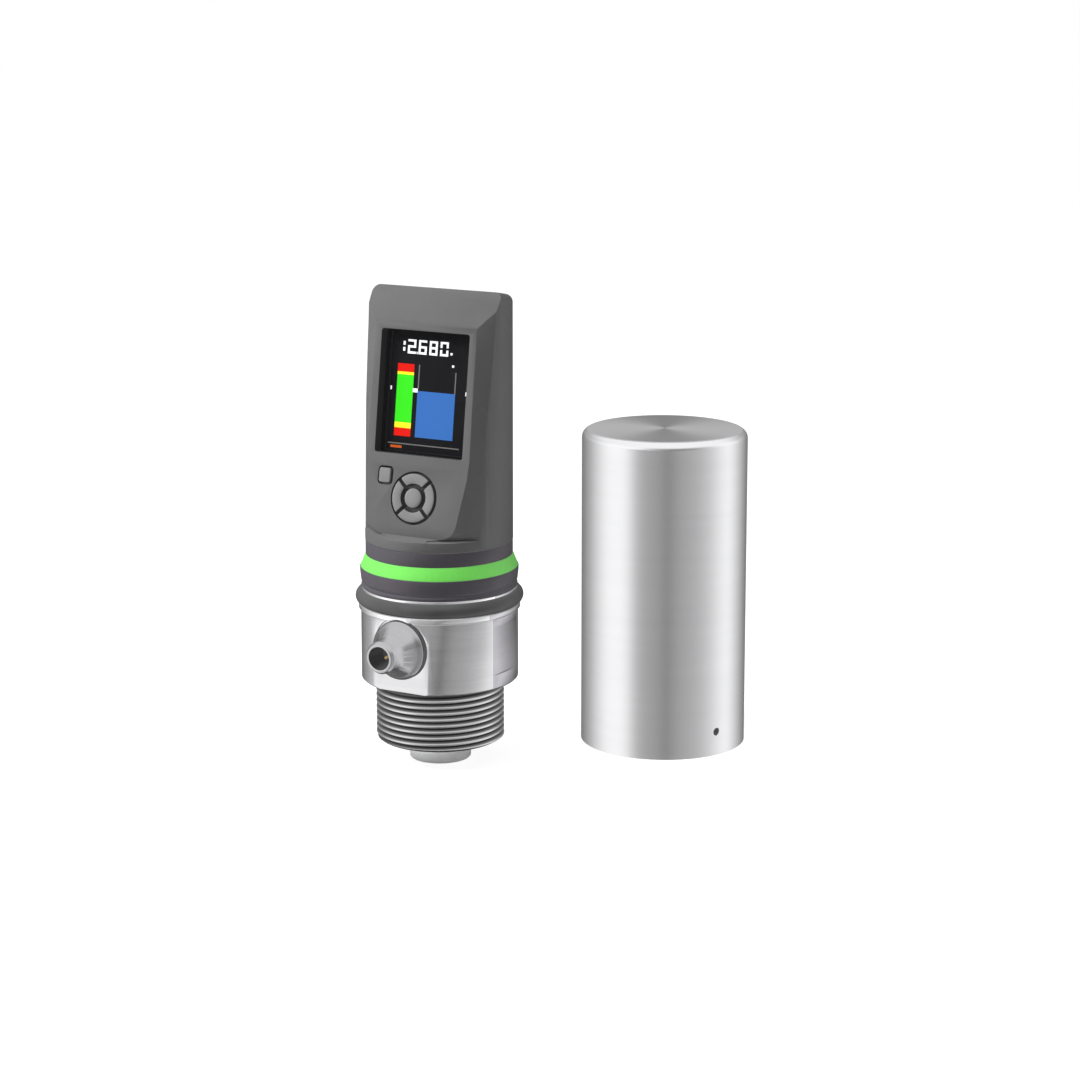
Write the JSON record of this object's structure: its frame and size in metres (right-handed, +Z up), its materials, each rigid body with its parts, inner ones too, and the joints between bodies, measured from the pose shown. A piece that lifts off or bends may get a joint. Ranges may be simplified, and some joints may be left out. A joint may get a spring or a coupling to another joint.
{
  "type": "guided wave radar level sensor",
  "caption": "Upright level sensor: threaded steel body with front plug connector and green light ring, swivelling head with display and keypad, and a separate steel cover.",
  "frame": {"origin": "on the thread axis at the underside shoulder of the steel body, where the flat seal lands", "axes": "+Z up along the sensor axis to the head; -Y the side of the display, keypad and plug connector"},
  "size_m": [0.124, 0.1364, 0.1767],
  "materials": {
    "steel": "machined stainless",
    "cover_steel": "brushed stainless",
    "insulator_white": "fluoropolymer",
    "seal_black": "satin",
    "housing_grey": "satin",
    "collar_dark": "satin",
    "light_green": "lit diffuser",
    "window_glass": "clear",
    "display_black": "screen face",
    "field_red": "lit field",
    "field_yellow": "lit field",
    "field_green": "lit field",
    "field_blue": "lit field",
    "field_white": "lit field",
    "field_grey": "dim line",
    "field_orange": "lit mark",
    "key_grey": "satin",
    "brass": "plated contact",
    "board_green": "circuit board",
    "chip_black": "moulded package",
    "spring_steel": "oiled"
  },
  "bodies": {
    "base": {"process_body": "steel", "probe_insulator": "insulator_white", "insulator_seals": "seal_black", "insulator_clamp_nut": "steel", "probe_conductor": "steel", "conductor_seal": "seal_black", "feed_pin": "brass", "base_standoffs": "spring_steel", "rf_board": "board_green", "base_board_screws": "spring_steel", "rf_shield": "spring_steel", "cable_socket": "chip_black", "head_cable": "chip_black", "cover_seal_o_ring": "seal_black", "connector_gasket": "seal_black", "connector_shell": "steel", "connector_insert": "chip_black", "connector_pins": "brass", "base_collar": "collar_dark", "led_board": "board_green", "status_leds": "light_green", "light_ring": "light_green", "neck_ring": "housing_grey", "swivel_seal": "seal_black", "swivel_clip": "spring_steel", "stop_pin": "spring_steel"},
    "head": {"bearing_ring": "housing_grey", "head_housing": "housing_grey", "head_ribbon": "chip_black", "display_window": "window_glass", "window_gasket": "seal_black", "lcd_module": "display_black", "lcd_alarm_fields": "field_red", "lcd_warning_fields": "field_yellow", "lcd_normal_field": "field_green", "lcd_level_field": "field_blue", "lcd_readout": "field_white", "lcd_outline_fields": "field_grey", "lcd_lamp_field": "field_orange", "display_board": "board_green", "display_screws": "spring_steel", "board_spacers": "spring_steel", "main_board": "board_green", "main_board_screws": "spring_steel", "main_board_chips": "chip_black", "keypad_membrane": "seal_black", "keypad_board": "board_green", "keypad_board_screws": "spring_steel", "tactile_switches": "chip_black"},
    "cover": {"head_cover": "cover_steel", "cover_set_screw": "spring_steel"},
    "key_menu": {"key_menu": "key_grey"},
    "key_enter": {"key_enter": "key_grey"},
    "key_up": {"key_up": "key_grey"},
    "key_down": {"key_down": "key_grey"},
    "key_left": {"key_left": "key_grey"},
    "key_right": {"key_right": "key_grey"}
  },
  "joints": [
    {"name": "head_swivel", "type": "hinge", "parent": "base", "child": "head", "pos_m": [0, 0, 0.053], "axis": [0, 0, 1], "range_deg": [-165, 165]},
    {"name": "key_menu_press", "type": "slide", "parent": "head", "child": "key_menu", "axis": [0, 0.9781, -0.2079], "range_m": [0, 0.0004], "stiffness_N_per_m": 3000, "springref_m": -0.0003},
    {"name": "key_enter_press", "type": "slide", "parent": "head", "child": "key_enter", "axis": [0, 0.9781, -0.2079], "range_m": [0, 0.0004], "stiffness_N_per_m": 3000, "springref_m": -0.0003},
    {"name": "key_up_press", "type": "slide", "parent": "head", "child": "key_up", "axis": [0, 0.9781, -0.2079], "range_m": [0, 0.0004], "stiffness_N_per_m": 3000, "springref_m": -0.0003},
    {"name": "key_down_press", "type": "slide", "parent": "head", "child": "key_down", "axis": [0, 0.9781, -0.2079], "range_m": [0, 0.0004], "stiffness_N_per_m": 3000, "springref_m": -0.0003},
    {"name": "key_left_press", "type": "slide", "parent": "head", "child": "key_left", "axis": [0, 0.9781, -0.2079], "range_m": [0, 0.0004], "stiffness_N_per_m": 3000, "springref_m": -0.0003},
    {"name": "key_right_press", "type": "slide", "parent": "head", "child": "key_right", "axis": [0, 0.9781, -0.2079], "range_m": [0, 0.0004], "stiffness_N_per_m": 3000, "springref_m": -0.0003},
    {"name": "cover_lift", "type": "slide", "parent": "base", "child": "cover", "axis": [0, 0, 1], "range_m": [0, 0.18]}
  ]
}
